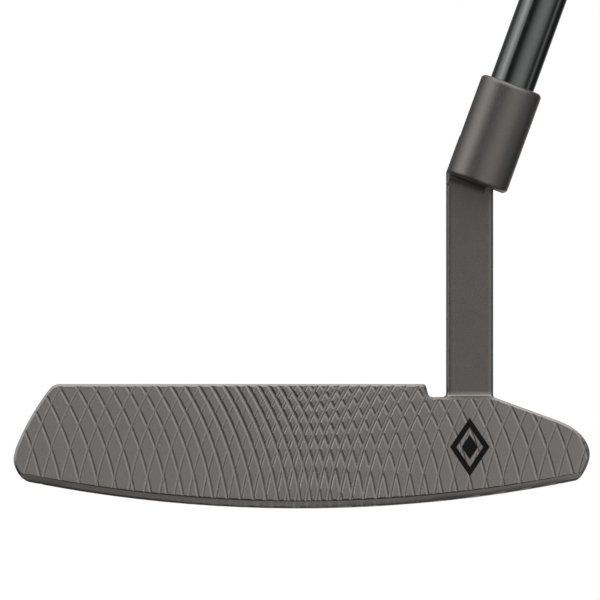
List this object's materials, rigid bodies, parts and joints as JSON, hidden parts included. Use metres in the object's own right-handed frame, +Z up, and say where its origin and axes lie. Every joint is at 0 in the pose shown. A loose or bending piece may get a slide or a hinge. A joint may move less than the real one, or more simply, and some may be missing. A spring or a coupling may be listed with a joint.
{
  "type": "blade putter",
  "caption": "Heel-toe weighted blade putter: milled steel head with a plumber's neck, black steel shaft, pistol grip and screw-in sole weights.",
  "frame": {"origin": "on the ground, under the leading edge at the middle of the face", "axes": "+Z up, +X from toe to heel, -Y the way the face looks, towards the target; the shaft leans 20 degrees from +Z towards +X"},
  "size_m": [0.3911, 0.045, 0.8385],
  "materials": {
    "milled_head_steel": "satin, grey physical-vapour coating over milled steel",
    "neck_steel": "bead-blasted satin",
    "black_paint_fill": "satin enamel",
    "white_paint_fill": "satin enamel",
    "weight_steel": "turned",
    "gasket_rubber": "matte",
    "black_shaft": "gloss black",
    "epoxy": "cured resin",
    "plug_foam": "matte",
    "tape": "masking tape",
    "grip_rubber": "moulded, matte",
    "cap_rubber": "moulded, satin"
  },
  "bodies": {
    "club": {"head_body": "milled_head_steel", "plumber_neck": "neck_steel", "emblem_paint_fill": "black_paint_fill", "sight_line_fill": "white_paint_fill", "shaft": "black_shaft", "shaft_bond": "epoxy", "shaft_tip_plug": "plug_foam", "grip_tape": "tape", "grip": "grip_rubber", "grip_cap": "cap_rubber"},
    "toe_gasket": {"toe_weight_gasket": "gasket_rubber"},
    "toe_screw": {"toe_weight": "weight_steel"},
    "heel_gasket": {"heel_weight_gasket": "gasket_rubber"},
    "heel_screw": {"heel_weight": "weight_steel"}
  },
  "joints": [
    {"name": "toe_weight_out", "type": "slide", "parent": "club", "child": "toe_gasket", "axis": [-0.1398, 0, -0.9902], "range_m": [0, 0.0092]},
    {"name": "toe_weight_turn", "type": "hinge", "parent": "toe_gasket", "child": "toe_screw", "pos_m": [-0.04087, 0.0155, 0.00283], "axis": [-0.1398, 0, -0.9902], "range_deg": [0, 4141]},
    {"name": "heel_weight_out", "type": "slide", "parent": "club", "child": "heel_gasket", "axis": [0.1439, 0, -0.9896], "range_m": [0, 0.0092]},
    {"name": "heel_weight_turn", "type": "hinge", "parent": "heel_gasket", "child": "heel_screw", "pos_m": [0.04086, 0.0155, 0.003], "axis": [0.1439, 0, -0.9896], "range_deg": [0, 4141]}
  ],
  "couplings": [
    {"joint": "toe_weight_turn", "follows": "toe_weight_out", "rad_per_m": 7854},
    {"joint": "heel_weight_turn", "follows": "heel_weight_out", "rad_per_m": 7854}
  ]
}
